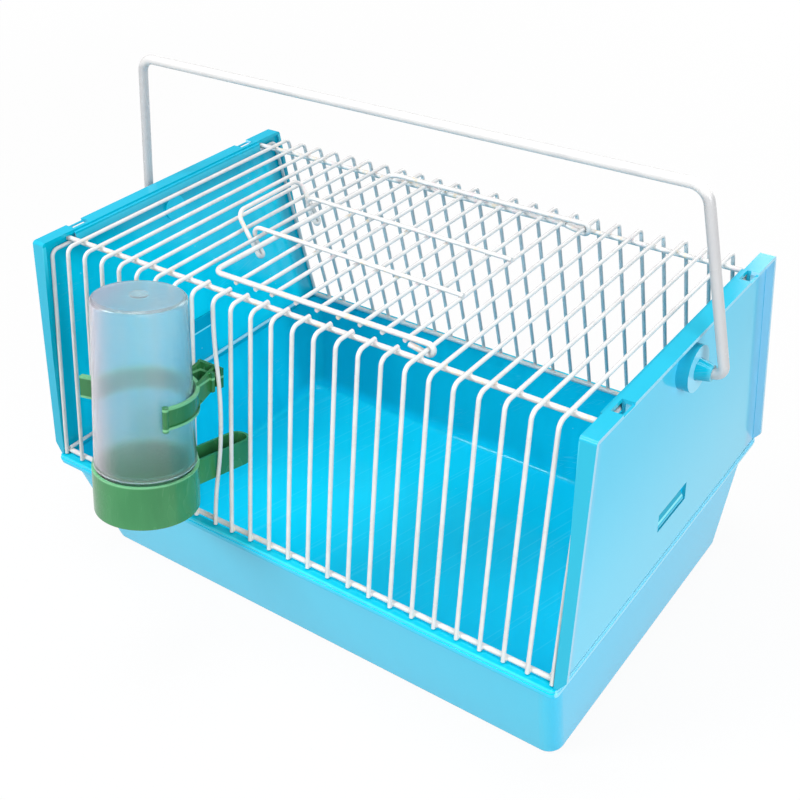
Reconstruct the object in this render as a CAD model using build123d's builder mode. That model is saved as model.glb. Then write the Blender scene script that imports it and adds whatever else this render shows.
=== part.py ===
from build123d import *
import os
from math import atan2, cos, degrees, radians, sin, sqrt

os.makedirs("parts", exist_ok=True)

# Moulded tray: an open box with leaning walls, standing on z = 0 with its middle at the origin
tray_height = 64.0
tray_foot_length = 290.0
tray_foot_depth = 178.6
tray_corner = 8.0
tray_wall_length = 302.0
tray_wall_depth = 207.6
tray_wall = 1.8
tray_floor = 2.0
tray_foot_round = 3.0
tray_floor_round = 3.0
lip_height = 4.0
lip_width = 2.4
lip_corner = 3.5
bead_height = 1.2
bead_width = 0.45
bead_gap = 1.3

# Wire cage: hoops of thin wire welded over thicker rods
bar_dia = 2.0
rod_dia = 2.6
weld_bite = 0.15
bar_pitch = 12.0
bar_count = 26
door_bar_count = 10
roof_height = 180.0
roof_half_depth = 81.0
wall_lean = 0.19
front_bend = 4.2
back_bend = 3.0
bar_tail = 0.8
seat_gap = 0.2
top_rod_setback = 10.7
stub_past = 0.8
bowed_bar = 9
bow = 4.2
bowed_shift = 1.2
end_rod_setback = 1.5
end_rod_overhang = 0.5

# End panels: a thin plate inside a rim that covers the last hoop
hoop_gap = 0.3
plate_thickness = 1.7
rim_thickness = 1.8
rim_inward = 1.8
rim_outward = 4.0
rim_gap = 0.3
panel_top_half_depth = 86.5
panel_lean = 0.15
panel_top_corner = 2.0
panel_foot_taper = 5.3
flange_step_height = 123.0
rod_end_gap = 0.5
window_centre = 61.0
window_width = 9.5
window_depth = 6.4
window_bridge = 1.2
window_notch = 1.2
strip_step = 1.0
strip_thickness = 0.8
strip_depth = 5.4
strip_half_length = 67.5
hook_width = 8.0
hook_thickness = 1.6
hook_seat_gap = 0.05
hook_nose = 1.0

# Snap catches of the tray, in the slots of the panels
slot_width = 29.0
slot_height = 10.0
slot_centre_height = 89.0
catch_side_gap = 1.5
catch_foot_gap = 1.0
catch_height = 4.5
catch_edge = 1.0
catch_face_gap = 0.4
tongue_thickness = 1.2
tongue_gap = 0.3
tongue_rise = 1.2

# Carry handle and its bushes
handle_dia = 4.8
handle_pivot_drop = 14.9
handle_rise = 81.7
handle_foot_standoff = 5.2
handle_leg_lean = 15.6
handle_top_bend = 9.0
handle_foot_bend = 4.2
collar_radius = 10.6
collar_height = 5.7
bush_radius = 5.0
bush_fit = 0.05
bush_proud = 6.5
bush_nose_radius = 3.6
bush_head_radius = 6.8
bush_head_thickness = 1.2
bore_fit = 0.05
bore_floor = 2.2
handle_end_gap = 0.5

# Roof door, hung on one hoop and latched on another
frame_dia = 2.6
hinge_gap = 0.3
door_front = 64.5
door_rod_gap = 0.5
door_skew = 3.8
door_corner = 5.0
door_margin = 1.7
shifted_door_bar = 11
door_bar_shift = 2.2
door_bar_past = 0.4
hook_turn = 11.0
hook_return = 9.5
latch_dia = 2.2
latch_forward = 3.0
latch_spread = 40.0
latch_end = 1.5
latch_drop = 2.5
latch_tip_inward = 1.8
latch_tip_drop = 9.5
latch_strand_gap = 3.0
latch_top_bend = 4.5
latch_bend = 2.4
latch_turn = 1.45
loop_reach = 9.5
loop_rise = 12.0
loop_bend = 5.0

# Drinker: tube, cup with trough, and spring clip, all leaning with the front wires
drinker_side = 0.1
drinker_standoff = 31.2
drinker_foot_height = 89.8
cup_radius = 24.0
cup_height = 22.2
cup_wall = 1.5
cup_floor = 2.0
cup_foot_round = 0.8
rest_count = 4
rest_height = 4.0
rest_width = 2.0
rest_length = 4.0
trough_side_gap = 0.45
trough_reach = 25.5
trough_turn = 4.0
trough_low = 6.5
trough_high = 19.5
trough_wall = 1.3
tube_top_radius = 20.7
tube_foot_radius = 22.9
tube_sleeve_radius = 21.4
tube_height = 104.0
tube_wall = 1.3
tube_top_round = 2.2
tube_rim_radius = 23.3
tube_rim_low = 24.0
tube_rim_height = 1.3
gate_radius = 4.0
gate_height = 0.9
clip_low = 49.7
clip_height = 10.6
clip_gap = 0.2
clip_web = 1.1
clip_thickness = 1.7
clip_edge = 1.5
clip_start = -20.0
clip_sweep = 218.0
clip_bead_radius = 1.4
clip_bead_extra = 0.7
tab_reach = 8.0
tab_thickness = 2.6
arm_thickness = 1.8
arm_start_angle = 46.0
arm_end = 12.3
link_place = 3.2
jaw_low = 54.2
jaw_height = 9.8
jaw_gap = 0.4
jaw_thickness = 1.8
jaw_end = 16.2
front_jaw_end = 15.3
front_jaw_drop = 1.0

# Places that follow from the sizes above
lean_factor = sqrt(1 + wall_lean**2)
weld_step = (bar_dia + rod_dia) / 2 - weld_bite
sill_height = tray_height + seat_gap + rod_dia / 2
bar_foot = sill_height - bar_tail
end_bar_x = (bar_count - 1) / 2 * bar_pitch
first_door_bar = (bar_count - door_bar_count) // 2
last_door_bar = first_door_bar + door_bar_count - 1
latch_bar = first_door_bar - 1
hinge_bar = last_door_bar + 1
top_rod_y = roof_half_depth - top_rod_setback
top_rod_z = roof_height - weld_step
plate_inner_x = end_bar_x + bar_dia / 2 + hoop_gap
plate_outer_x = plate_inner_x + plate_thickness
rim_inner_x = plate_inner_x - rim_inward
rim_outer_x = plate_outer_x + rim_outward
rod_half_length = plate_inner_x - rod_end_gap
panel_top = top_rod_z + rod_dia / 2 + rim_gap + rim_thickness
panel_foot = tray_height + seat_gap
handle_pivot_height = panel_top - handle_pivot_drop
drinker_up = Vector(0, wall_lean, 1).normalized()


def bar_x(index):
    """Place along the cage of one wire, counted from the left end."""
    return (index - (bar_count - 1) / 2) * bar_pitch


def wall_y(height, inset=0.0):
    """Half-depth of the leaning wall at a height, a distance inside the wires' middle."""
    return roof_half_depth + wall_lean * (roof_height - height) - inset * lean_factor


def draw_wire(points, diameter, bend=None):
    """Add a round wire along points, rounded at each corner, to the part being built."""
    with BuildLine() as path:
        if bend is None:
            Polyline(*points)
        else:
            FilletPolyline(*points, radius=bend)
    with BuildSketch(Plane(path.line @ 0, z_dir=path.line % 0)) as section:
        Circle(diameter / 2)
    sweep(section.sketch, path=path.line)


def draw_hoop(x, drop=0.0):
    """Add one whole hoop: up the front wall, over the roof and down the back wall."""
    top = roof_height - drop
    foot_y = wall_y(bar_foot)
    top_y = wall_y(top)
    points = [(x, -foot_y, bar_foot), (x, -top_y, top), (x, top_y, top), (x, foot_y, bar_foot)]
    draw_wire(points, bar_dia, [front_bend, back_bend])


def draw_rod(y, z):
    """Add one rod along the length of the cage."""
    draw_wire([(-rod_half_length, y, z), (rod_half_length, y, z)], rod_dia)


def save(builder, name):
    """Label a finished piece and write it to its own file."""
    builder.part.label = name
    export_step(builder.part, f"parts/{name}.step")


# Base tray
lip_length = tray_wall_length + 2 * lip_width
lip_depth = tray_wall_depth + 2 * lip_width
floor_share = tray_floor / tray_height
hollow_foot_length = tray_foot_length + (tray_wall_length - tray_foot_length) * floor_share - 2 * tray_wall
hollow_foot_depth = tray_foot_depth + (tray_wall_depth - tray_foot_depth) * floor_share - 2 * tray_wall

with BuildPart() as base_tray:
    with BuildSketch():
        RectangleRounded(tray_foot_length, tray_foot_depth, tray_corner)
    with BuildSketch(Plane.XY.offset(tray_height)):
        RectangleRounded(tray_wall_length, tray_wall_depth, tray_corner)
    loft()
    fillet(base_tray.faces().sort_by(Axis.Z)[0].edges(), tray_foot_round)
    with BuildSketch(Plane.XY.offset(tray_height - lip_height)):
        RectangleRounded(lip_length, lip_depth, lip_corner)
    extrude(amount=lip_height)
    with BuildSketch(Plane.XY.offset(tray_height - bead_gap - bead_height)):
        RectangleRounded(lip_length + 2 * bead_width, lip_depth + 2 * bead_width, lip_corner + bead_width)
    extrude(amount=bead_height)
    with BuildSketch(Plane.XY.offset(tray_floor)):
        RectangleRounded(hollow_foot_length, hollow_foot_depth, tray_corner - tray_wall)
    with BuildSketch(Plane.XY.offset(tray_height)):
        RectangleRounded(tray_wall_length - 2 * tray_wall, tray_wall_depth - 2 * tray_wall,
                         tray_corner - tray_wall)
    loft(mode=Mode.SUBTRACT)
    floor_faces = base_tray.faces().filter_by(Axis.Z).group_by(Axis.Z)[1]
    fillet(floor_faces.edges(), tray_floor_round)
save(base_tray, "base_tray")

# Snap catches: springy tongues that stand on the tray's end rims
tongue_outer_x = plate_inner_x - tongue_gap
tongue_inner_x = tongue_outer_x - tongue_thickness
slot_foot = slot_centre_height - slot_height / 2
tongue_top = slot_foot + slot_height + tongue_rise
catch_foot = slot_foot + catch_foot_gap
catch_top = catch_foot + catch_height
catch_x = plate_outer_x - catch_face_gap

with BuildPart() as tray_catch_right:
    with BuildSketch(Plane.XZ):
        with BuildLine():
            Polyline(
                (tongue_inner_x, tray_height),
                (tongue_outer_x, tray_height),
                (tongue_outer_x, catch_foot),
                (catch_x, catch_foot),
                (catch_x, catch_foot + catch_edge),
                (tongue_outer_x, catch_top),
                (tongue_outer_x, tongue_top),
                (tongue_inner_x, tongue_top),
                close=True,
            )
        make_face()
    extrude(amount=slot_width / 2 - catch_side_gap, both=True)
save(tray_catch_right, "tray_catch_right")

with BuildPart() as tray_catch_left:
    mirror(tray_catch_right.part, about=Plane.YZ)
save(tray_catch_left, "tray_catch_left")


# End panels
def panel_outline(inset, foot):
    """Corners of the panel in its own plane, drawn in by the rim and cut off at a foot."""
    top = panel_top - inset
    rim_factor = sqrt(1 + panel_lean**2)
    top_y = panel_top_half_depth + panel_lean * inset - inset * rim_factor
    foot_y = top_y + panel_lean * (top - foot)
    return [(-foot_y, foot), (-top_y, top), (top_y, top), (foot_y, foot)]


end_hoop_drop = 2 * weld_step
hook_top = roof_height - end_hoop_drop - bar_dia / 2 - hook_seat_gap
hook_inner_x = end_bar_x - bar_dia / 2 - hoop_gap - hook_nose
strip_outer_x = end_bar_x - bar_dia / 2 - hoop_gap
strip_inner_x = strip_outer_x - strip_thickness
collar_face_x = plate_outer_x + collar_height
bush_nose_x = collar_face_x + bush_proud
bridge_x = rim_outer_x - window_bridge
window_middle_x = (plate_inner_x + bridge_x) / 2

with BuildPart() as end_panel_right:
    with BuildSketch(Plane.YZ.offset(rim_inner_x)) as outline:
        with BuildLine():
            Polyline(*panel_outline(0, panel_foot), close=True)
        make_face()
        fillet(outline.vertices().group_by(Axis.Y)[-1], panel_top_corner)
    extrude(amount=rim_outer_x - rim_inner_x)
    with BuildSketch(Plane.YZ.offset(plate_outer_x), Plane.YZ.offset(plate_inner_x - rim_outward)):
        with BuildLine():
            Polyline(*panel_outline(rim_thickness, panel_foot - rim_thickness), close=True)
        make_face()
    extrude(amount=rim_outward, mode=Mode.SUBTRACT)
    with BuildSketch(Plane.XZ):
        with BuildLine():
            Polyline(
                (rim_inner_x, panel_top - rim_thickness),
                (plate_inner_x, flange_step_height),
                (plate_inner_x, panel_foot),
                (rim_inner_x, panel_foot),
                close=True,
            )
        make_face()
        with BuildLine():
            Polyline(
                (plate_outer_x, panel_foot),
                (rim_outer_x, panel_foot),
                (rim_outer_x, panel_foot + panel_foot_taper),
                close=True,
            )
        make_face()
    extrude(amount=panel_top, both=True, mode=Mode.SUBTRACT)
    with BuildSketch(Plane.XY.offset(panel_top)):
        with Locations((window_middle_x, -window_centre), (window_middle_x, window_centre)):
            Rectangle(bridge_x - plate_inner_x, window_width)
    extrude(amount=-window_depth, mode=Mode.SUBTRACT)
    with BuildSketch(Plane.XY.offset(panel_top)):
        with Locations((bridge_x, -window_centre), (bridge_x, window_centre)):
            Rectangle(2 * window_bridge, window_width)
    extrude(amount=-window_notch, mode=Mode.SUBTRACT)
    with BuildSketch(Plane.XZ):
        with BuildLine():
            Polyline(
                (rim_inner_x, panel_top - rim_thickness),
                (rim_inner_x, panel_top - strip_step),
                (strip_inner_x, panel_top - strip_step),
                (strip_inner_x, panel_top - strip_depth),
                (strip_outer_x, panel_top - strip_depth),
                (strip_outer_x, panel_top - rim_thickness),
                close=True,
            )
        make_face()
    extrude(amount=strip_half_length, both=True)
    with BuildSketch(Plane.XZ.offset(window_centre), Plane.XZ.offset(-window_centre)):
        with BuildLine():
            Polyline(
                (plate_outer_x, hook_top),
                (hook_inner_x + hook_nose, hook_top),
                (hook_inner_x + hook_nose, hook_top + bar_dia / 2),
                (hook_inner_x, hook_top),
                (hook_inner_x, hook_top - hook_thickness),
                (plate_outer_x, hook_top - hook_thickness),
                close=True,
            )
        make_face()
    extrude(amount=hook_width / 2, both=True)
    with BuildSketch(Plane.YZ.offset(plate_outer_x)):
        with Locations((0, handle_pivot_height)):
            Circle(collar_radius)
    extrude(amount=collar_height)
    with BuildSketch(Plane.YZ.offset(plate_inner_x)):
        with Locations((0, handle_pivot_height)):
            Circle(bush_radius + bush_fit)
        with Locations((0, slot_centre_height)):
            Rectangle(slot_width, slot_height)
    extrude(amount=plate_thickness + collar_height, mode=Mode.SUBTRACT)
save(end_panel_right, "end_panel_right")

with BuildPart() as end_panel_left:
    mirror(end_panel_right.part, about=Plane.YZ)
save(end_panel_left, "end_panel_left")

# Handle bushes: headed plugs pushed out through the collars
bore_depth = bush_nose_x - plate_inner_x - bore_floor

with BuildPart() as handle_bush_right:
    with BuildSketch(Plane.YZ.offset(collar_face_x)):
        with Locations((0, handle_pivot_height)):
            Circle(bush_radius)
    with BuildSketch(Plane.YZ.offset(bush_nose_x)):
        with Locations((0, handle_pivot_height)):
            Circle(bush_nose_radius)
    loft()
    with BuildSketch(Plane.YZ.offset(plate_inner_x)):
        with Locations((0, handle_pivot_height)):
            Circle(bush_radius)
    extrude(amount=collar_face_x - plate_inner_x)
    with BuildSketch(Plane.YZ.offset(plate_inner_x)):
        with Locations((0, handle_pivot_height)):
            Circle(bush_head_radius)
    extrude(amount=-bush_head_thickness)
    with BuildSketch(Plane.YZ.offset(bush_nose_x)):
        with Locations((0, handle_pivot_height)):
            Circle(handle_dia / 2 + bore_fit)
    extrude(amount=-bore_depth, mode=Mode.SUBTRACT)
save(handle_bush_right, "handle_bush_right")

with BuildPart() as handle_bush_left:
    mirror(handle_bush_right.part, about=Plane.YZ)
save(handle_bush_left, "handle_bush_left")

# Carry handle: one bent wire whose ends turn in the bushes
handle_end_x = bush_nose_x - bore_depth + handle_end_gap
handle_foot_x = bush_nose_x + handle_foot_standoff
handle_top_x = handle_foot_x - handle_leg_lean
handle_top_z = handle_pivot_height + handle_rise

with BuildPart() as carry_handle:
    draw_wire(
        [
            (-handle_end_x, 0, handle_pivot_height),
            (-handle_foot_x, 0, handle_pivot_height),
            (-handle_top_x, 0, handle_top_z),
            (handle_top_x, 0, handle_top_z),
            (handle_foot_x, 0, handle_pivot_height),
            (handle_end_x, 0, handle_pivot_height),
        ],
        handle_dia,
        [handle_foot_bend, handle_top_bend, handle_top_bend, handle_foot_bend],
    )
save(carry_handle, "carry_handle")

# Whole hoops on both sides of the door, and the end hoops under the rods
with BuildPart() as left_hoops:
    for index in range(1, first_door_bar):
        draw_hoop(bar_x(index))
save(left_hoops, "left_hoops")

with BuildPart() as right_hoops:
    for index in range(hinge_bar, bar_count - 1):
        draw_hoop(bar_x(index))
save(right_hoops, "right_hoops")

with BuildPart() as end_hoop_left:
    draw_hoop(-end_bar_x, end_hoop_drop)
save(end_hoop_left, "end_hoop_left")

with BuildPart() as end_hoop_right:
    draw_hoop(end_bar_x, end_hoop_drop)
save(end_hoop_right, "end_hoop_right")

# Short wires below the door opening, cut off just past the roof rods
stub_end_y = top_rod_y - stub_past
bend_run = front_bend * (lean_factor - wall_lean)
wall_run = (roof_height - bar_foot) * lean_factor - bend_run


def draw_stub(x, side, bend):
    """Add one short wire: up a wall, round the roof bend and onto the roof rod."""
    foot = (x, side * wall_y(bar_foot), bar_foot)
    corner = (x, side * roof_half_depth, roof_height)
    draw_wire([foot, corner, (x, side * stub_end_y, roof_height)], bar_dia, bend)


def bow_push(height):
    """How far the bowed wire is pushed aside in its lower quarter."""
    share = (height - bar_foot) * lean_factor / wall_run
    return bow / 2 * (4 * share) ** 2


def draw_bowed_stub(x):
    """Add the front wire that the drinker's trough pushes aside, in three gentle arcs."""
    foot = Vector(x, -wall_y(bar_foot), bar_foot)

    def along(share, push):
        return foot + drinker_up * (wall_run * share) + Vector(push, 0, 0)

    with BuildLine() as path:
        lower = TangentArc(along(0, 0), along(1 / 4, bow / 2), tangent=drinker_up)
        middle = TangentArc(lower @ 1, along(3 / 4, bow / 2), tangent=lower % 1)
        upper = TangentArc(middle @ 1, along(1, 0), tangent=middle % 1)
        bend = TangentArc(upper @ 1, (x, -roof_half_depth + bend_run, roof_height), tangent=drinker_up)
        Line(bend @ 1, (x, -stub_end_y, roof_height))
    with BuildSketch(Plane(foot, z_dir=drinker_up)) as section:
        Circle(bar_dia / 2)
    sweep(section.sketch, path=path.line)


with BuildPart() as front_door_stubs:
    for index in range(first_door_bar, hinge_bar):
        if index == bowed_bar:
            draw_bowed_stub(bar_x(index) + bowed_shift)
        else:
            draw_stub(bar_x(index), -1, front_bend)
save(front_door_stubs, "front_door_stubs")

with BuildPart() as back_door_stubs:
    for index in range(first_door_bar, hinge_bar):
        draw_stub(bar_x(index), 1, back_bend)
save(back_door_stubs, "back_door_stubs")

# Rods along the cage, and the short rods across its ends
sill_rod_y = wall_y(sill_height, weld_step)
end_rod_x = end_bar_x - end_rod_setback
end_rod_z = sill_height + weld_step
end_rod_y = sill_rod_y + end_rod_overhang

with BuildPart() as roof_rod_front:
    draw_rod(-top_rod_y, top_rod_z)
save(roof_rod_front, "roof_rod_front")

with BuildPart() as roof_rod_back:
    draw_rod(top_rod_y, top_rod_z)
save(roof_rod_back, "roof_rod_back")

with BuildPart() as sill_rod_front:
    draw_rod(-sill_rod_y, sill_height)
save(sill_rod_front, "sill_rod_front")

with BuildPart() as sill_rod_back:
    draw_rod(sill_rod_y, sill_height)
save(sill_rod_back, "sill_rod_back")

with BuildPart() as end_rods:
    for x in (-end_rod_x, end_rod_x):
        draw_wire([(x, -end_rod_y, end_rod_z), (x, end_rod_y, end_rod_z)], bar_dia)
save(end_rods, "end_rods")

# Door frame: a U of wire whose ends curl round the hinge hoop
hinge_x = bar_x(hinge_bar)
door_left_x = bar_x(first_door_bar) - door_margin
hook_radius = bar_dia / 2 + hinge_gap + frame_dia / 2
door_top = roof_height + hook_radius
door_bar_z = door_top - weld_step
door_back = top_rod_y - (rod_dia + frame_dia) / 2 - door_rod_gap
turn = radians(hook_turn)
hook_end_x = hinge_x - hook_radius * sin(turn)
hook_end_z = roof_height - hook_radius * cos(turn)
hook_tip_x = hook_end_x - hook_return * cos(turn)
hook_tip_z = hook_end_z + hook_return * sin(turn)

with BuildPart() as door_frame:
    with BuildLine() as frame_path:
        Line((hook_tip_x, -door_front, hook_tip_z), (hook_end_x, -door_front, hook_end_z))
        ThreePointArc(
            (hook_end_x, -door_front, hook_end_z),
            (hinge_x + hook_radius, -door_front, roof_height),
            (hinge_x, -door_front, door_top),
        )
        FilletPolyline(
            (hinge_x, -door_front, door_top),
            (door_left_x, -door_front, door_top),
            (door_left_x + door_skew, door_back, door_top),
            (hinge_x, door_back, door_top),
            radius=door_corner,
        )
        ThreePointArc(
            (hinge_x, door_back, door_top),
            (hinge_x + hook_radius, door_back, roof_height),
            (hook_end_x, door_back, hook_end_z),
        )
        Line((hook_end_x, door_back, hook_end_z), (hook_tip_x, door_back, hook_tip_z))
    with BuildSketch(Plane(frame_path.line @ 0, z_dir=frame_path.line % 0)) as frame_section:
        Circle(frame_dia / 2)
    sweep(frame_section.sketch, path=frame_path.line)
save(door_frame, "door_frame")

with BuildPart() as door_bars:
    for index in range(first_door_bar + 1, hinge_bar):
        x = bar_x(index)
        if index == shifted_door_bar:
            x -= door_bar_shift
        front_end = (x, -door_front - door_bar_past, door_bar_z)
        draw_wire([front_end, (x, door_back + door_bar_past, door_bar_z)], bar_dia)
save(door_bars, "door_bars")

# Latch: two long legs on the door, and the springy loop that hooks under the next hoop
latch_x = bar_x(latch_bar)
leg_right_x = bar_x(last_door_bar)
leg_right_z = door_bar_z + (bar_dia + latch_dia) / 2 - weld_bite
leg_left_z = door_top + (frame_dia + latch_dia) / 2 - weld_bite
leg_slope = (leg_left_z - leg_right_z) / (leg_right_x - door_left_x)
leg_split_x = (door_left_x + latch_x) / 2
leg_ys = (-latch_forward - latch_spread / 2, -latch_forward + latch_spread / 2)


def leg_z(x):
    """Height of the sloping latch legs."""
    return leg_right_z + leg_slope * (leg_right_x - x)


with BuildPart() as latch_legs:
    for y in leg_ys:
        right_end = leg_right_x + latch_end
        draw_wire([(right_end, y, leg_z(right_end)), (leg_split_x, y, leg_z(leg_split_x))], latch_dia)
save(latch_legs, "latch_legs")

drop_x = latch_x - latch_drop
loop_top = roof_height + loop_rise


def latch_side(y, side):
    """Corners of one side of the loop, from the leg down round the hoop and up to the bar."""
    outer_y = y + side * latch_strand_gap
    tip = (latch_x + latch_tip_inward, roof_height - latch_tip_drop)
    return [
        (leg_split_x, y, leg_z(leg_split_x)),
        (drop_x, y, leg_z(drop_x)),
        (drop_x, y, roof_height - bar_dia),
        (tip[0], y, tip[1]),
        (tip[0], outer_y, tip[1]),
        (latch_x - loop_reach, outer_y, loop_top),
    ]


side_bends = [latch_top_bend, latch_bend, latch_turn, latch_turn, loop_bend]

with BuildPart() as latch_loop:
    front_side = latch_side(leg_ys[0], -1)
    back_side = latch_side(leg_ys[1], 1)
    draw_wire(front_side + back_side[::-1], latch_dia, side_bends + side_bends[::-1])
save(latch_loop, "latch_loop")

# Drinker cup with its trough reaching in between two front wires
trough_bar = bowed_bar - 1
drinker_x = bar_x(trough_bar) + drinker_side
drinker_y = -wall_y(drinker_foot_height) - drinker_standoff
drinker_frame = Plane((drinker_x, drinker_y, drinker_foot_height), x_dir=(1, 0, 0), z_dir=drinker_up)
drinker_axis = Axis(drinker_frame.origin, drinker_frame.z_dir)
wall_distance = drinker_standoff / lean_factor
trough_left = bar_x(trough_bar) + bar_dia / 2 + trough_side_gap - drinker_x
trough_wall_height = drinker_foot_height + (trough_low - wall_distance * wall_lean) / lean_factor
trough_space = bar_pitch + bowed_shift + bow_push(trough_wall_height) - bar_dia
trough_width = trough_space - 2 * trough_side_gap
trough_middle = trough_left + trough_width / 2
trough_place = Location((trough_middle, wall_distance, 0), (0, 0, -trough_turn))
trough_frame = Plane(drinker_frame.location * trough_place)
rest_place = cup_radius - cup_wall - rest_length / 2


def draw_trough(width, reach):
    """Outline of the trough from inside the cup, between the wires, to its round far end."""
    with Locations((0, (reach - width / 2 - wall_distance) / 2)):
        Rectangle(width, wall_distance + reach - width / 2)
    with Locations((0, reach - width / 2)):
        Circle(width / 2)


with BuildPart() as drinker_cup:
    with BuildSketch(drinker_frame):
        Circle(cup_radius)
    extrude(amount=cup_height)
    fillet(drinker_cup.faces().sort_by(drinker_axis)[0].edges(), cup_foot_round)
    with BuildSketch(trough_frame.offset(trough_low)):
        draw_trough(trough_width, trough_reach)
    extrude(amount=trough_high - trough_low)
    with BuildSketch(drinker_frame.offset(cup_floor)):
        Circle(cup_radius - cup_wall)
    extrude(amount=cup_height - cup_floor, mode=Mode.SUBTRACT)
    with BuildSketch(trough_frame.offset(trough_low + trough_wall)):
        draw_trough(trough_width - 2 * trough_wall, trough_reach - trough_wall)
    extrude(amount=trough_high - trough_low - trough_wall, mode=Mode.SUBTRACT)
    with BuildSketch(drinker_frame.offset(cup_floor)):
        with PolarLocations(rest_place, rest_count, start_angle=180 / rest_count):
            Rectangle(rest_length, rest_width)
    extrude(amount=rest_height)
save(drinker_cup, "drinker_cup")

# Drinker tube: an upturned tapering beaker, its sleeve standing on the rests in the cup
tube_foot = cup_floor + rest_height
tube_rim_top = tube_rim_low + tube_rim_height

with BuildPart() as drinker_tube:
    with BuildSketch(drinker_frame.offset(tube_rim_top)):
        Circle(tube_foot_radius)
    with BuildSketch(drinker_frame.offset(tube_height)):
        Circle(tube_top_radius)
    loft()
    fillet(drinker_tube.faces().sort_by(drinker_axis)[-1].edges(), tube_top_round)
    with BuildSketch(drinker_frame.offset(tube_rim_low)):
        Circle(tube_rim_radius)
    extrude(amount=tube_rim_height)
    with BuildSketch(drinker_frame.offset(tube_foot)):
        Circle(tube_sleeve_radius)
    extrude(amount=tube_rim_low - tube_foot)
    with BuildSketch(drinker_frame.offset(tube_height)):
        Circle(gate_radius)
    extrude(amount=gate_height)
    with BuildSketch(drinker_frame.offset(tube_foot)):
        Circle(tube_sleeve_radius - tube_wall)
    extrude(amount=tube_rim_top - tube_foot, mode=Mode.SUBTRACT)
    with BuildSketch(drinker_frame.offset(tube_rim_top)):
        Circle(tube_foot_radius - tube_wall)
    with BuildSketch(drinker_frame.offset(tube_height - tube_wall)):
        Circle(tube_top_radius - tube_wall)
    loft(mode=Mode.SUBTRACT)
save(drinker_tube, "drinker_tube")

# Drinker clip: a springy band round the tube, with a thumb tab, and jaws on the bowed wire
clip_top = clip_low + clip_height
jaw_top = jaw_low + jaw_height
band_inner = tube_foot_radius + clip_gap
band_outer = band_inner + clip_thickness
band_middle = band_inner + clip_web / 2
tab_angle = clip_start + clip_sweep
back_jaw = wall_distance + bar_dia / 2 + jaw_gap
front_jaw = wall_distance - bar_dia / 2 - jaw_gap - jaw_thickness
arm_start = Vector(band_middle, 0).rotate(Axis.Z, arm_start_angle)


def upright_plane(place, angle):
    """Plane along the drinker's axis at a place in its frame, with its x at an angle."""
    turned = Plane(drinker_frame.location * Location(place, (0, 0, angle)))
    return Plane(turned.origin, x_dir=turned.x_dir, z_dir=-turned.y_dir)


def draw_arm(start, end):
    """Add one arm of the clip, rising from the band to the back jaw."""
    run = end - start
    with BuildSketch(upright_plane(start, degrees(atan2(run.Y, run.X)))) as side:
        with BuildLine():
            Polyline((0, clip_low), (run.length, jaw_low), (run.length, jaw_top), (0, clip_top), close=True)
        make_face()
    extrude(side.sketch, amount=-arm_thickness)


with BuildPart() as drinker_clip:
    draw_arm(arm_start, Vector(arm_end, back_jaw + jaw_thickness))
    draw_arm(Vector(link_place, band_middle), Vector(link_place, back_jaw + jaw_thickness))
    with BuildSketch(drinker_frame.offset(clip_low)):
        Circle(band_inner)
    extrude(amount=jaw_top - clip_low, mode=Mode.SUBTRACT)
    with BuildSketch(upright_plane((0, 0, 0), clip_start)):
        with Locations((band_inner, clip_low)):
            Rectangle(clip_web, clip_height, align=Align.MIN)
            Rectangle(clip_thickness, clip_edge, align=Align.MIN)
        with Locations((band_inner, clip_top)):
            Rectangle(clip_thickness, clip_edge, align=(Align.MIN, Align.MAX))
    revolve(axis=drinker_axis, revolution_arc=clip_sweep)
    with BuildSketch(drinker_frame.offset(clip_low - clip_bead_extra)):
        with PolarLocations(band_inner + clip_bead_radius, 1, start_angle=clip_start):
            Circle(clip_bead_radius)
    extrude(amount=clip_height + 2 * clip_bead_extra)
    with BuildSketch(drinker_frame.offset(clip_low)):
        with PolarLocations(band_inner + tab_reach / 2, 1, start_angle=tab_angle):
            Rectangle(tab_reach, tab_thickness)
    extrude(amount=clip_height)
    with BuildSketch(drinker_frame.offset(jaw_low)):
        with Locations((link_place - arm_thickness, back_jaw)):
            Rectangle(jaw_end - link_place + arm_thickness, jaw_thickness, align=Align.MIN)
    extrude(amount=jaw_height)
    with BuildSketch(drinker_frame.offset(jaw_low - front_jaw_drop)):
        with Locations((arm_end, front_jaw)):
            Rectangle(front_jaw_end - arm_end, jaw_thickness, align=Align.MIN)
    extrude(amount=jaw_height)
save(drinker_clip, "drinker_clip")
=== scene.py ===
import math
import bmesh
import bpy
from mathutils import Matrix, Vector


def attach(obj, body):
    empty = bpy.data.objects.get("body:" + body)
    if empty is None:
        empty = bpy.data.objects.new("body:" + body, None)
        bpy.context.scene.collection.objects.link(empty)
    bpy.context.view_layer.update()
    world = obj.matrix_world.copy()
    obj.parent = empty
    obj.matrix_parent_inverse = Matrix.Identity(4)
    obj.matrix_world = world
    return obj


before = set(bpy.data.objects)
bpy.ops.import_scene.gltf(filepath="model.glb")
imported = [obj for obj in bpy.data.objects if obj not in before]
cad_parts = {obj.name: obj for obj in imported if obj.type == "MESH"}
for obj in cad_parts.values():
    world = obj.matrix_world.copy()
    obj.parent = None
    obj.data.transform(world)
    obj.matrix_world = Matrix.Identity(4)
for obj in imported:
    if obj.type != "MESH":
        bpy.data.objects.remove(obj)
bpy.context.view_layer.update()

# Base tray
# One deep injection moulding in glossy sky-blue plastic, with leaning walls and a thick rim.
# The cage stands on the rim; years of scraping out have left fine lines on the tray's floor.
# Light and shade are painted on it too: a sheen on the outer walls, a shadow line under the rim, shade
# and a highlight on the rim's top, lighter rim ends, a floor lighter to the left, and shade at the back
# wall's left.


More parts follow.
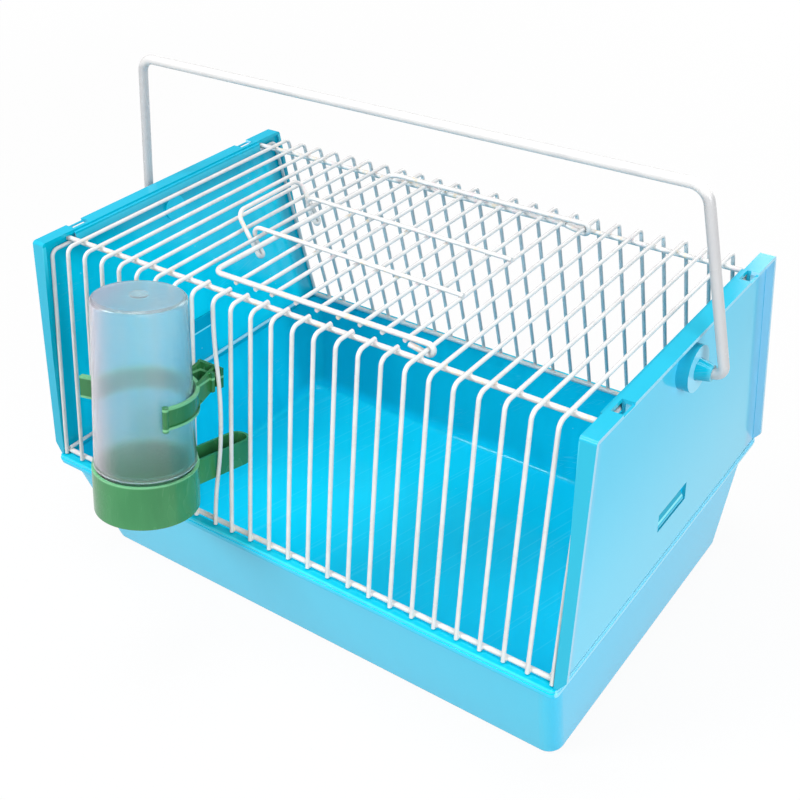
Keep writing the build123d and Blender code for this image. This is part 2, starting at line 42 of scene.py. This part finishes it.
class Shade:
    """A value on a surface: one output of a material's nodes, which takes part in sums."""

    def __init__(self, tree, socket=None):
        self.tree = tree
        self.socket = socket

    def node(self, kind, settings=None, inputs=None, output=None):
        """Add a node, apply its settings, then give its sockets their values or links."""
        made = self.tree.nodes.new("ShaderNode" + kind)
        for name, setting in (settings or {}).items():
            setattr(made, name, setting)
        sockets = {socket.identifier: socket for socket in made.inputs}
        for name, value in (inputs or {}).items():
            if isinstance(value, Shade):
                self.tree.links.new(value.socket, sockets[name])
            else:
                sockets[name].default_value = value
        outputs = {socket.identifier: socket for socket in made.outputs}
        return Shade(self.tree, outputs[output] if output else made.outputs[0])

    def beside(self, output):
        """Another output of the same node."""
        return Shade(self.tree, self.socket.node.outputs[output])

    def along(self, axis):
        """How far a place or a direction goes along one axis."""
        return self.node("SeparateXYZ", inputs={"Vector": self}, output=axis)

    def sum(self, operation, first, second):
        return self.node("Math", {"operation": operation}, {"Value": first, "Value_001": second})

    def __add__(self, other):
        return self.sum("ADD", self, other)

    __radd__ = __add__

    def __sub__(self, other):
        return self.sum("SUBTRACT", self, other)

    def __rsub__(self, other):
        return self.sum("SUBTRACT", other, self)

    def __mul__(self, other):
        return self.sum("MULTIPLY", self, other)

    __rmul__ = __mul__

    def __abs__(self):
        return self.node("Math", {"operation": "ABSOLUTE"}, {"Value": self})

    def least(self, other):
        return self.sum("MINIMUM", self, other)

    def most(self, other):
        return self.sum("MAXIMUM", self, other)

    def rise(self, low, high):
        """0 where the value is at low, 1 where it is at high, and smooth between."""
        return self.node("MapRange", {"interpolation_type": "SMOOTHSTEP"},
                         {"Value": self, "From Min": low, "From Max": high})

    def blend(self, first, second):
        """The first colour where the value is 0, the second where it is 1."""
        return self.node("Mix", {"data_type": "RGBA"},
                         {"Factor_Float": self, "A_Color": first, "B_Color": second}, "Result_Color")

    def tinted(self, where, share, tint):
        """This colour, with a share of another laid over it where the mask is 1."""
        return (where * share).blend(self, tint)


def start_finish(name):
    """A new material, the sockets of its shader, and the place of a point on the carrier, in metres."""
    finish = bpy.data.materials.new(name)
    finish.use_nodes = True
    shader = finish.node_tree.nodes["Principled BSDF"].inputs
    return finish, shader, Shade(finish.node_tree).node("TexCoord", output="Object")


def facing_at(place):
    """Which way the surface faces at a place."""
    return place.node("NewGeometry", output="Normal")


def give(shader, name, value):
    """Link a value to one socket of the material's shader."""
    value.tree.links.new(value.socket, shader[name])


def give_bumps(shader, height, strength, depth):
    """Raise the surface a little where the height is 1."""
    give(shader, "Normal", height.node(
        "Bump", inputs={"Height": height, "Strength": strength, "Distance": depth}))


def cover(finish, *names):
    """Put one finish on CAD pieces."""
    for name in names:
        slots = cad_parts[name].data.materials
        slots.clear()
        slots.append(finish)


def stretched(place, lengths, turn=(0, 0, 0)):
    """The same place turned, then measured in lengths of its own along each axis."""
    return place.node("Mapping", {"vector_type": "TEXTURE"},
                      {"Vector": place, "Rotation": turn, "Scale": lengths})


def cloud(place, scale, detail=2.0):
    """Soft random patches: values round 0.5, finer with a larger scale."""
    return place.node("TexNoise", inputs={"Vector": place, "Scale": scale, "Detail": detail})


def scratches(place, width, length, turn):
    """Short straight scratches: the peaks of a noise drawn out into thin turned sheets."""
    sheets = cloud(stretched(place, (width, length, length), turn), 1.0, 0.0)
    sparse = cloud(place, 32.0, 1.0).rise(0.54, 0.68)
    return sheets.rise(0.68, 0.76) * sparse


def specks(place, scale, size):
    """Small round specks, on about a third of the cells of a random pattern."""
    dots = place.node("TexVoronoi", inputs={"Vector": place, "Scale": scale})
    chosen = dots.node("SeparateColor", inputs={"Color": dots.beside("Color")})
    return dots.rise(size, size * 0.5) * chosen.rise(0.66, 0.68)


def blue_plastic(name, deep, light):
    """Glossy blue plastic with moulding streaks, fine scratches and pale specks."""
    finish, shader, place = start_finish(name)
    shader["Specular IOR Level"].default_value = 0.26
    streaks = cloud(stretched(place, (0.011, 0.011, 0.14)), 1.0)
    patches = cloud(place, 22.0)
    tone = (streaks * 0.45 + patches * 0.55).rise(0.36, 0.64)
    long_scrapes = scratches(place, 0.0007, 0.016, (0.5, 0.9, 0.3))
    short_scrapes = scratches(place, 0.0005, 0.01, (0.3, 1.3, -0.6))
    dust = specks(place, 120.0, 0.07)
    colour = tone.blend(deep, light)
    colour = colour.tinted(long_scrapes.most(short_scrapes), 0.07, (0.5, 0.85, 0.96, 1))
    colour = colour.tinted(dust, 0.2, (0.8, 0.94, 0.98, 1))
    give(shader, "Roughness", 0.07 + patches * 0.08 + dust * 0.1)
    give_bumps(shader, cloud(place, 900.0, 1.0) * 0.12 + patches * 0.5, 0.08, 0.0006)
    return finish, shader, place, colour


tray_blue, shader, place, colour = blue_plastic(
    "tray_blue", (0.002, 0.6, 0.83, 1), (0.004, 0.68, 0.91, 1))
x = place.along("X")
y = place.along("Y")
z = place.along("Z")
facing = facing_at(place)
floor_top = 0.0022
rim_bottom = 0.0598
rim_top = 0.0638
rim_half_width = 0.1055
rim_half_length = 0.1529
score_turn = (0, 0, -0.28)

on_floor = z.rise(floor_top + 0.0012, floor_top)
# Painted light: the tray's floor is painted lighter towards its left end.
floor_painted_light = x.rise(0.08, -0.1).blend((0.003, 0.58, 0.84, 1), (0.006, 0.66, 0.9, 1))
score = cloud(stretched(place, (0.0016, 0.12, 0.12), score_turn), 1.0, 0.0).rise(0.64, 0.72)
outward = place.node("VectorMath", {"operation": "DOT_PRODUCT"},
                     {"Vector": facing, "Vector_001": place}, "Value").rise(0.07, 0.084)
to_end = abs(facing.along("X")).rise(0.2, 0.9)
# Painted sheen: the outer walls are paler than the inside.
painted_sheen_walls = to_end.blend((0.05, 0.66, 0.95, 1), (0.01, 0.61, 0.96, 1))
# Painted shadow: a dark line under the rim on the front and back walls.
painted_shadow_under_rim = abs(z - (rim_bottom + 0.0001)).rise(0.0005, 0.0002) * outward * (1 - to_end)
on_rim = z.rise(rim_top - 0.001, rim_top)
# Painted shade and highlight: the rim's top is dark along its inner side and bright at its outer edge.
painted_light_rim_edge = abs(y).rise(rim_half_width - 0.0008, rim_half_width)
painted_rim_shade_and_highlight = painted_light_rim_edge.blend((0.002, 0.42, 0.58, 1), (0.07, 0.72, 0.88, 1))
# Painted light: the rim's ends are lighter, against the shade of the seam under the end panels.
painted_light_rim_end = abs(x).rise(rim_half_length - 0.0005, rim_half_length) * z.rise(rim_bottom - 0.001, rim_bottom)
back_wall = y.rise(0.06, 0.08) * (1 - outward) * z.rise(0.004, 0.012)
in_shade = back_wall * x.rise(0.06, -0.02)

colour = colour.tinted(on_floor, 0.8, floor_painted_light)
colour = colour.tinted(score * on_floor, 0.08, (0.2, 0.8, 0.97, 1))
colour = colour.tinted(outward, 0.9, painted_sheen_walls)
colour = colour.tinted(painted_shadow_under_rim, 0.5, (0.004, 0.4, 0.58, 1))
colour = colour.tinted(on_rim, 0.6, painted_rim_shade_and_highlight)
colour = colour.tinted(painted_light_rim_end, 0.85, (0.32, 0.8, 1.0, 1))
colour = colour.tinted(in_shade, 0.55, (0.001, 0.34, 0.5, 1))
give(shader, "Base Color", colour)
cover(tray_blue, "base_tray")

# Tray catches
# Springy tongues moulded on the tray's end rims, in the same blue plastic.
# Their noses show in the slots of the end panels, which snap over them; a painted shade darkens
# each tongue above its nose, and a painted highlight lies along its ledge.
catch_blue, shader, place, colour = blue_plastic(
    "catch_blue", (0.002, 0.48, 0.7, 1), (0.004, 0.54, 0.78, 1))
z = place.along("Z")
nose_height = 0.0871
# Painted shade: the tongue is darker above its nose, inside the slot.
painted_shade_above_nose = z.rise(nose_height + 0.0003, nose_height + 0.0006)
# Painted highlight: a pale line along the nose's ledge.
painted_highlight_nose_ledge = abs(z - nose_height).rise(0.0006, 0.0004)
colour = colour.tinted(painted_shade_above_nose, 0.6, (0.0, 0.34, 0.5, 1))
colour = colour.tinted(painted_highlight_nose_ledge, 0.85, (0.3, 0.9, 0.98, 1))
give(shader, "Base Color", colour)
cover(catch_blue, "tray_catch_left", "tray_catch_right")

# End panels
# Two mirrored mouldings that close the ends of the cage: a thin plate inside a rim.
# The glossy plates carry scuffs and specks. Light and shade are painted on them: a pale sheen on the
# outer faces, highlights on the rim's edges, light on the foot and the rim's inner walls, and shade on the
# rim's sides, in a band along the outer edges and in the folds inside along the rim.
panel_blue, shader, place, colour = blue_plastic(
    "panel_blue", (0.002, 0.72, 0.95, 1), (0.004, 0.79, 1.0, 1))
x = abs(place.along("X"))
y = place.along("Y")
z = place.along("Z")
facing = facing_at(place)
facing_x = abs(facing.along("X"))
plate_inside = 0.1518
plate_outside = 0.1530
rim_outside = 0.1569
rim_back = 0.1496
panel_top = 0.18125
top_half_width = 0.0865
side_slope = 0.15

on_plate = facing_x.rise(0.5, 0.8)
outside = x.rise(plate_outside - 0.0004, plate_outside) * on_plate
inside = x.rise(plate_inside + 0.0004, plate_inside) * on_plate
from_edge = top_half_width + (panel_top - z) * side_slope - abs(y)
# Painted shadow: inside, the plate is darker along its edges and under the top rim.
painted_shadow_in_fold = inside * from_edge.rise(0.017, 0.008).most(z.rise(0.158, 0.176))
rim_side = facing_x.rise(0.6, 0.3)
to_middle = (facing.along("Y") * y).rise(-0.03, -0.06)
# Painted light: the rim's inner walls beside the outer plate are light, against their shade.
painted_light_rim_inside = rim_side * to_middle * x.rise(plate_outside + 0.0001, plate_outside + 0.0003)
# Painted sheen: the outer face of the plate is pale, paler towards the bottom.
painted_sheen_plate = z.rise(0.07, 0.175).blend((0.17, 0.68, 0.93, 1), (0.07, 0.59, 0.86, 1))
# Painted light: the plate's foot is lighter, against the shade of the seam.
painted_light_foot_edge = outside * z.rise(0.0656, 0.0645)
# Painted shade: a darker, greyer band along the outer face's edges.
painted_shade_edge_band = outside * from_edge.rise(0.015, 0.007)
# Painted highlight: the rim's outermost faces are paler.
painted_light_rim_edge = outside * x.rise(rim_outside - 0.0009, rim_outside)
# Painted highlight: a light line along the inner edge of the rim.
painted_highlight_rim_inner_edge = x.rise(rim_back + 0.0007, rim_back) * z.rise(0.1795, 0.1789)

colour = colour.tinted(painted_shadow_in_fold, 0.75, (0.001, 0.36, 0.5, 1))
# Painted shade: faces that don't face sideways, such as the rim's sides, are darker.
colour = colour.tinted(rim_side, 0.9, (0.025, 0.43, 0.62, 1))
colour = colour.tinted(painted_light_rim_inside, 0.95, (0.36, 0.74, 0.96, 1))
colour = colour.tinted(outside, 0.9, painted_sheen_plate)
colour = colour.tinted(painted_light_foot_edge, 0.6, (0.42, 0.86, 1.0, 1))
colour = colour.tinted(painted_shade_edge_band, 0.75, (0.27, 0.58, 0.82, 1))
colour = colour.tinted(painted_light_rim_edge, 0.4, (0.5, 0.8, 0.92, 1))
colour = colour.tinted(painted_highlight_rim_inner_edge, 0.5, (0.1, 0.76, 0.94, 1))
give(shader, "Base Color", colour)
cover(panel_blue, "end_panel_left", "end_panel_right")

# Handle bushes
# Headed plugs of blue plastic, pushed out through the collars of the panels.
# Their heads match the panels inside; the rest is painted a darker blue as shade, and the noses
# are painted paler towards their outer ends as a sheen.
# Painted shade: the bushes' blue is darker than the panels'.
bush_blue, shader, place, colour = blue_plastic(
    "bush_blue", (0.002, 0.42, 0.6, 1), (0.004, 0.48, 0.67, 1))
x = abs(place.along("X"))
head_inside = 0.1510
nose_start = 0.1630
nose_end = 0.1652
colour = colour.tinted(x.rise(head_inside + 0.0005, head_inside), 0.95, (0.003, 0.74, 0.96, 1))
# Painted sheen: paler towards the outer end of each nose.
colour = colour.tinted(x.rise(nose_start, nose_end), 0.35, (0.2, 0.66, 0.82, 1))
give(shader, "Base Color", colour)
cover(bush_blue, "handle_bush_left", "handle_bush_right")

# Carry handle
# One bent steel wire in a thick white plastic coating, its ends turning in the bushes.
# The coating is a little lumpy; the two posts are painted greyer as shade, and the wire is greyer
# low down by the bushes.
handle_white, shader, place = start_finish("handle_white")
z = place.along("Z")
bar_underside = 0.2465
grime = cloud(place, 60.0, 3.0).rise(0.5, 0.75)
# Painted shade: the two posts are greyer than the bar.
painted_shade_on_post = z.rise(bar_underside, bar_underside - 0.003)
by_bush = z.rise(0.175, 0.168)
colour = painted_shade_on_post.blend((0.72, 0.715, 0.71, 1), (0.54, 0.545, 0.555, 1))
colour = colour.tinted(grime, 0.3, (0.5, 0.5, 0.52, 1))
colour = colour.tinted(by_bush, 0.3, (0.56, 0.58, 0.6, 1))
give(shader, "Base Color", colour)
give(shader, "Roughness", 0.26 + grime * 0.14)
give_bumps(shader, cloud(place, 260.0), 0.15, 0.0006)
cover(handle_white, "carry_handle")

# Wires and rods of the cage
# Steel wires bent into hoops and spot-welded to thicker rods, then coated glossy white.
# The coat is painted with a grey-blue shade below the wires and on the inner sides of the back legs,
# and with the panels' blue as shade on the end wires low by the panels; at each weld it is burnt, so small
# straw-coloured and pinkish spots show.
bar_pitch = 0.012
roof_rod_y, roof_rod_z = 0.0703, 0.17785
sill_rod_y, sill_rod_z = 0.10057, 0.0655


def wire_white(name, weld):
    """Glossy white wire coating, burnt where the weld mask is 1, with painted shade below and behind."""
    finish, shader, place = start_finish(name)
    x = place.along("X")
    y = place.along("Y")
    z = place.along("Z")
    facing = facing_at(place)
    mottle = cloud(place, 140.0, 3.0)
    burn = weld(place) * cloud(place, 520.0, 1.0).rise(0.46, 0.6)
    straw_to_pink = cloud(place, 75.0, 0.0).rise(0.42, 0.58)
    burn_tint = straw_to_pink.blend((0.8, 0.62, 0.36, 1), (0.76, 0.58, 0.62, 1))
    # Painted shade: grey-blue below the wires and on the inner sides of the back legs.
    underside = facing.along("Z").rise(0.2, -0.6)
    back_leg = y.rise(0.0725, 0.079) * z.rise(0.1775, 0.172)
    inner_side = back_leg * facing.along("Y").rise(0.6, 0.0)
    painted_wire_shade = (underside * 0.4).most(inner_side * 0.45)
    # Painted shade: the end wires low by the front of the panels take the panels' blue.
    painted_shade_by_panel = abs(x).rise(0.1465, 0.1475) * z.rise(0.0705, 0.0695) * y.rise(-0.08, -0.04)
    colour = mottle.rise(0.35, 0.7).blend((0.74, 0.735, 0.725, 1), (0.67, 0.665, 0.66, 1))
    colour = colour.tinted(burn, 0.55, burn_tint)
    colour = painted_wire_shade.blend(colour, (0.33, 0.4, 0.44, 1))
    colour = colour.tinted(painted_shade_by_panel, 0.8, (0.26, 0.7, 0.86, 1))
    give(shader, "Base Color", colour)
    give(shader, "Roughness", 0.2 + mottle * 0.12 + burn * 0.2)
    give_bumps(shader, mottle + cloud(place, 700.0, 1.0) * 0.4, 0.12, 0.0004)
    return finish


def near_rods(place):
    """1 on a wire where it crosses a roof rod or a sill rod."""
    y = abs(place.along("Y"))
    z = place.along("Z")
    to_roof_rod = abs(y - roof_rod_y).most(abs(z - roof_rod_z))
    to_sill_rod = abs(y - sill_rod_y).most(abs(z - sill_rod_z))
    return to_roof_rod.least(to_sill_rod).rise(0.0034, 0.0016)


def near_wires(place):
    """1 on a rod where a wire crosses it, once every pitch."""
    half_pitch = bar_pitch / 2
    from_gap = place.node("Math", {"operation": "PINGPONG"},
                          {"Value": place.along("X") + half_pitch, "Value_001": half_pitch})
    return from_gap.rise(half_pitch - 0.0026, half_pitch - 0.001)


hoop_white = wire_white("hoop_white", near_rods)
rod_white = wire_white("rod_white", near_wires)
cover(hoop_white, "left_hoops", "right_hoops", "end_hoop_left", "end_hoop_right",
      "front_door_stubs", "back_door_stubs", "end_rods")
cover(rod_white, "roof_rod_front", "roof_rod_back", "sill_rod_front", "sill_rod_back")

# Weld beads
# The small squeezed-out flash that spot welding leaves between a wire and its rod.
# It is coated with the wires, and a little of the burnt metal shines through.


def everywhere(place):
    """1 all over, because a bead is nothing but weld."""
    return 1


bead_white = wire_white("bead_white", everywhere)


def weld_beads(name, spots, flat):
    """One piece of small flattened beads, thin along a direction, at each of the spots."""
    half_length, half_width, half_thickness = 0.00150, 0.00142, 0.00062
    shape = bmesh.new()
    turn = Vector((0, 0, 1)).rotation_difference(Vector(flat)).to_matrix().to_4x4()
    for count, spot in enumerate(spots):
        swell = 1 + 0.18 * math.sin(count * 2.4)
        size = Matrix.Diagonal((half_length * swell, half_width / swell, half_thickness, 1))
        bmesh.ops.create_icosphere(shape, subdivisions=2, radius=1,
                                   matrix=Matrix.Translation(spot) @ turn @ size)
    mesh = bpy.data.meshes.new(name)
    shape.to_mesh(mesh)
    shape.free()
    mesh.shade_smooth()
    beads = bpy.data.objects.new(name, mesh)
    bpy.context.scene.collection.objects.link(beads)
    beads.data.materials.append(bead_white)
    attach(beads, "cage")


wire_count = 24
wire_places = [(number - (wire_count - 1) / 2) * bar_pitch for number in range(wire_count)]
above_rod = 0.00127
out_from_sill = 0.0012
wall_lean = 0.19
roof_spots = [(along, side * roof_rod_y, roof_rod_z + above_rod) for along in wire_places for side in (-1, 1)]
weld_beads("roof_welds", roof_spots, (0, 0, 1))
for name, side in (("front_sill_welds", -1), ("back_sill_welds", 1)):
    sill_spots = [(along, side * (sill_rod_y + out_from_sill), sill_rod_z) for along in wire_places]
    weld_beads(name, sill_spots, Vector((0, side, wall_lean)).normalized())

# Roof door and its latch
# A frame of thicker wire that curls round one hoop as its hinge, with bars welded below it.
# Two legs end in a springy finger loop that hooks under the next hoop to hold the door shut.


def near_frame(place):
    """1 on a door bar near the long sides of the frame and the legs of the latch."""
    y = place.along("Y")
    door_front, door_back = -0.0645, 0.0672
    front_leg, back_leg = -0.023, 0.017
    to_frame = abs(y - door_front).least(abs(y - door_back))
    to_leg = abs(y - front_leg).least(abs(y - back_leg))
    return to_frame.least(to_leg).rise(0.0032, 0.0014)


door_white = wire_white("door_white", near_frame)
frame_white = wire_white("frame_white", near_wires)
cover(door_white, "door_bars")
cover(frame_white, "door_frame", "latch_legs", "latch_loop")

# Drinker cup and clip
# Two glossy leaf-green mouldings: a round cup with a trough that reaches in between the wires,
# and a springy clip that holds the tube. Thin edges carry a painted highlight, and the cup is scuffed.
drinker_foot = Vector((-0.0539, -0.129338, 0.0898))
drinker_lean = Vector((0, 0.186661, 0.982424))


def drinker_height(place):
    """How far along the drinker's leaning axis a point is, from the cup's foot."""
    back = (place.along("Y") - drinker_foot.y) * drinker_lean.y
    up = (place.along("Z") - drinker_foot.z) * drinker_lean.z
    return back + up


def green_plastic(name, deep, light, edges):
    """Glossy green plastic, with a painted highlight where the mask of its edges is 1."""
    finish, shader, place = start_finish(name)
    streaks = cloud(stretched(place, (0.007, 0.007, 0.07)), 1.0)
    tone = (cloud(place, 38.0) * 0.6 + streaks * 0.4).rise(0.36, 0.64)
    scrapes = scratches(place, 0.0005, 0.008, (0.4, 0.2, 0.5))
    colour = tone.blend(deep, light)
    colour = colour.tinted(scrapes, 0.08, (0.3, 0.62, 0.36, 1))
    colour = colour.tinted(edges(drinker_height(place)), 0.7, (0.24, 0.64, 0.33, 1))
    give(shader, "Base Color", colour)
    give(shader, "Roughness", 0.2 + tone * 0.1)
    give_bumps(shader, cloud(place, 800.0, 1.0), 0.05, 0.0004)
    return finish


def cup_rim_highlight(height):
    """1 on the cup's upper edge, where a highlight is painted."""
    return height.rise(0.0213, 0.0221)


def clip_edge_highlight(height):
    """1 on the upper and lower edges of the clip's band, where highlights are painted."""
    middle, half_width = 0.055, 0.0048
    return abs(abs(height - middle) - half_width).rise(0.0008, 0.0004)


cup_green = green_plastic("cup_green", (0.035, 0.222, 0.075, 1), (0.05, 0.262, 0.093, 1), cup_rim_highlight)
clip_green = green_plastic("clip_green", (0.023, 0.162, 0.047, 1), (0.032, 0.192, 0.06, 1), clip_edge_highlight)
cover(cup_green, "drinker_cup")
cover(clip_green, "drinker_clip")

# Drinker tube
# An upturned beaker of frosted see-through plastic: the cup, the clip and the cage blur behind it.
# Its wall has faint drawn lines along the axis. Light and shade are painted on it: a pinkish sheen on its
# left, a highlight strip and a shade at its right, the green of the cup glowing through its lower part,
# a darker grey-blue on the top cap and a highlight on its rim.
tube_clear, shader, place = start_finish("tube_clear")
shader["IOR"].default_value = 1.45
shader["Transmission Weight"].default_value = 0.88
rim_height = 0.02465
cap_height = 0.1039
gate_height = 0.1047
right_x, right_y = 0.82, 0.57

height = drinker_height(place)
from_axis_x = place.along("X") - drinker_foot.x
from_axis_y = place.along("Y") - drinker_foot.y - height * drinker_lean.y
to_right = from_axis_x * right_x + from_axis_y * right_y
drawn = cloud(stretched(place, (0.0024, 0.0024, 0.17)), 1.0)
haze = cloud(place, 34.0)
smudge = cloud(place, 140.0).rise(0.56, 0.66)
# Painted highlight: a near-white strip right of the tube's middle.
painted_highlight_strip = abs(to_right - 0.0105).rise(0.006, 0.002)
# Painted shade: the tube's right edge is darker.
painted_shade_right_edge = to_right.rise(0.0165, 0.0195)
# Painted light: the cup's green, seen through the tube's lower wall.
painted_cup_show_through = height.rise(0.053, 0.026)
# Painted sheen: the tube's left side is pinkish-white.
painted_sheen_left = to_right.rise(-0.005, -0.0165)
top_cap = height.rise(cap_height - 0.0006, cap_height)
gate_mark = height.rise(gate_height - 0.0004, gate_height)
# The gate mark and the smudges on the cap are real marks; the pale line on the tube's rim is a painted
# highlight.
rim = abs(height - rim_height).rise(0.0011, 0.0006)
marks_and_rim_highlight = gate_mark * 0.8 + rim * 0.6 + smudge * top_cap * 0.4

colour = (haze * 0.8 + drawn * 0.3).rise(0.3, 0.75).blend((0.64, 0.94, 1.0, 1), (0.76, 0.97, 1.0, 1))
colour = colour.tinted(painted_highlight_strip, 0.35, (0.95, 0.98, 1.0, 1))
colour = colour.tinted(painted_shade_right_edge, 0.7, (0.55, 0.86, 0.94, 1))
colour = colour.tinted(painted_cup_show_through, 0.8, (0.32, 0.68, 0.52, 1))
colour = colour.tinted(painted_sheen_left, 0.9, (1.0, 0.93, 1.0, 1))
# Painted shade: the top cap is a darker grey-blue.
colour = colour.tinted(top_cap, 0.6, (0.66, 0.74, 0.83, 1))
colour = marks_and_rim_highlight.blend(colour, (0.97, 0.97, 0.96, 1))
give(shader, "Base Color", colour)
give(shader, "Roughness", 0.12 + haze * 0.12 + drawn * 0.06)
give_bumps(shader, drawn + haze, 0.1, 0.0006)
cover(tube_clear, "drinker_tube")

# Floor, backdrop and light
# A plain white studio sweep: the camera sees it white, but it throws little light on the carrier.
# Soft square lamps light it from the front left, the right and above, with a weak one behind.
bpy.ops.mesh.primitive_plane_add(size=8)
floor = bpy.context.object
floor.name = "floor"
floor_white = bpy.data.materials.new("floor_white")
floor_white.use_nodes = True
floor.data.materials.append(floor_white)
floor_nodes = floor_white.node_tree.nodes
floor_nodes.remove(floor_nodes["Principled BSDF"])
ground = Shade(floor_white.node_tree)


def seen_directly(surface):
    """1 for a ray from the camera, or one that a clear surface sends on."""
    path = surface.node("LightPath", output="Is Camera Ray")
    return path.most(path.beside("Is Transmission Ray"))


mirrored = ground.node("LightPath", output="Is Glossy Ray")
matt = ground.node("BsdfDiffuse", inputs={"Color": (0.38, 0.38, 0.38, 1)})
pale = ground.node("BsdfDiffuse", inputs={"Color": (0.72, 0.72, 0.72, 1)})
white = ground.node("Emission", inputs={"Color": (1, 1, 1, 1), "Strength": 1.0})
spread = ground.node("TexCoord", output="Object")
distance = spread.node("VectorMath", {"operation": "LENGTH"}, {"Vector": spread}, "Value")
white_share = 0.94 + distance.rise(0.5, 1.4) * 0.06
shaded = ground.node("MixShader", inputs={"Fac": white_share, "Shader": pale, "Shader_001": white})
sweep = ground.node("MixShader", inputs={"Fac": seen_directly(ground).most(mirrored),
                                         "Shader": matt, "Shader_001": shaded})
floor_white.node_tree.links.new(sweep.socket, floor_nodes["Material Output"].inputs["Surface"])

world = bpy.data.worlds.new("studio")
bpy.context.scene.world = world
world.use_nodes = True
world_nodes = world.node_tree.nodes
world_nodes.remove(world_nodes["Background"])
sky = Shade(world.node_tree)
dim = sky.node("Background", inputs={"Color": (0.98, 0.98, 1.0, 1), "Strength": 0.16})
bright = sky.node("Background", inputs={"Color": (1, 1, 1, 1), "Strength": 1.0})
backdrop = sky.node("MixShader", inputs={"Fac": seen_directly(sky), "Shader": dim, "Shader_001": bright})
world.node_tree.links.new(backdrop.socket, world_nodes["World Output"].inputs["Surface"])

lamp_aim = Vector((0, 0, 0.1))
for name, spot, watts, side in (("front_lamp", (-0.8, -1.25, 1.2), 22, 0.7),
                                ("right_lamp", (1.3, -0.7, 0.8), 20, 0.9),
                                ("top_lamp", (-0.1, 0.0, 1.7), 15, 0.9),
                                ("back_lamp", (0.1, 1.6, 0.6), 12, 0.9)):
    lamp = bpy.data.lights.new(name, "AREA")
    lamp.energy = watts
    lamp.size = side
    lamp_object = bpy.data.objects.new(name, lamp)
    bpy.context.scene.collection.objects.link(lamp_object)
    lamp_object.location = spot
    lamp_object.rotation_euler = (lamp_aim - Vector(spot)).to_track_quat("-Z", "Y").to_euler()

# Camera
# The photograph's viewpoint: above the front right corner, with a long lens and a slight roll.
# The picture is shown with plain Standard colours.
eye = Vector((0.31104, -0.39024, 0.43164))
turn, tilt, roll = math.radians(34.81), math.radians(34.35), math.radians(-1.62)
lens = bpy.data.cameras.new("camera")
camera = bpy.data.objects.new("camera", lens)
bpy.context.scene.collection.objects.link(camera)
bpy.context.scene.camera = camera
camera.matrix_world = (Matrix.Translation(eye) @ Matrix.Rotation(turn, 4, "Z")
                       @ Matrix.Rotation(math.pi / 2 - tilt, 4, "X") @ Matrix.Rotation(roll, 4, "Z"))
lens.sensor_width = 36
lens.lens = 52.07
lens.shift_x = -0.0836
lens.shift_y = 0.0018
lens.clip_start = 0.01
bpy.context.scene.view_settings.view_transform = "Standard"
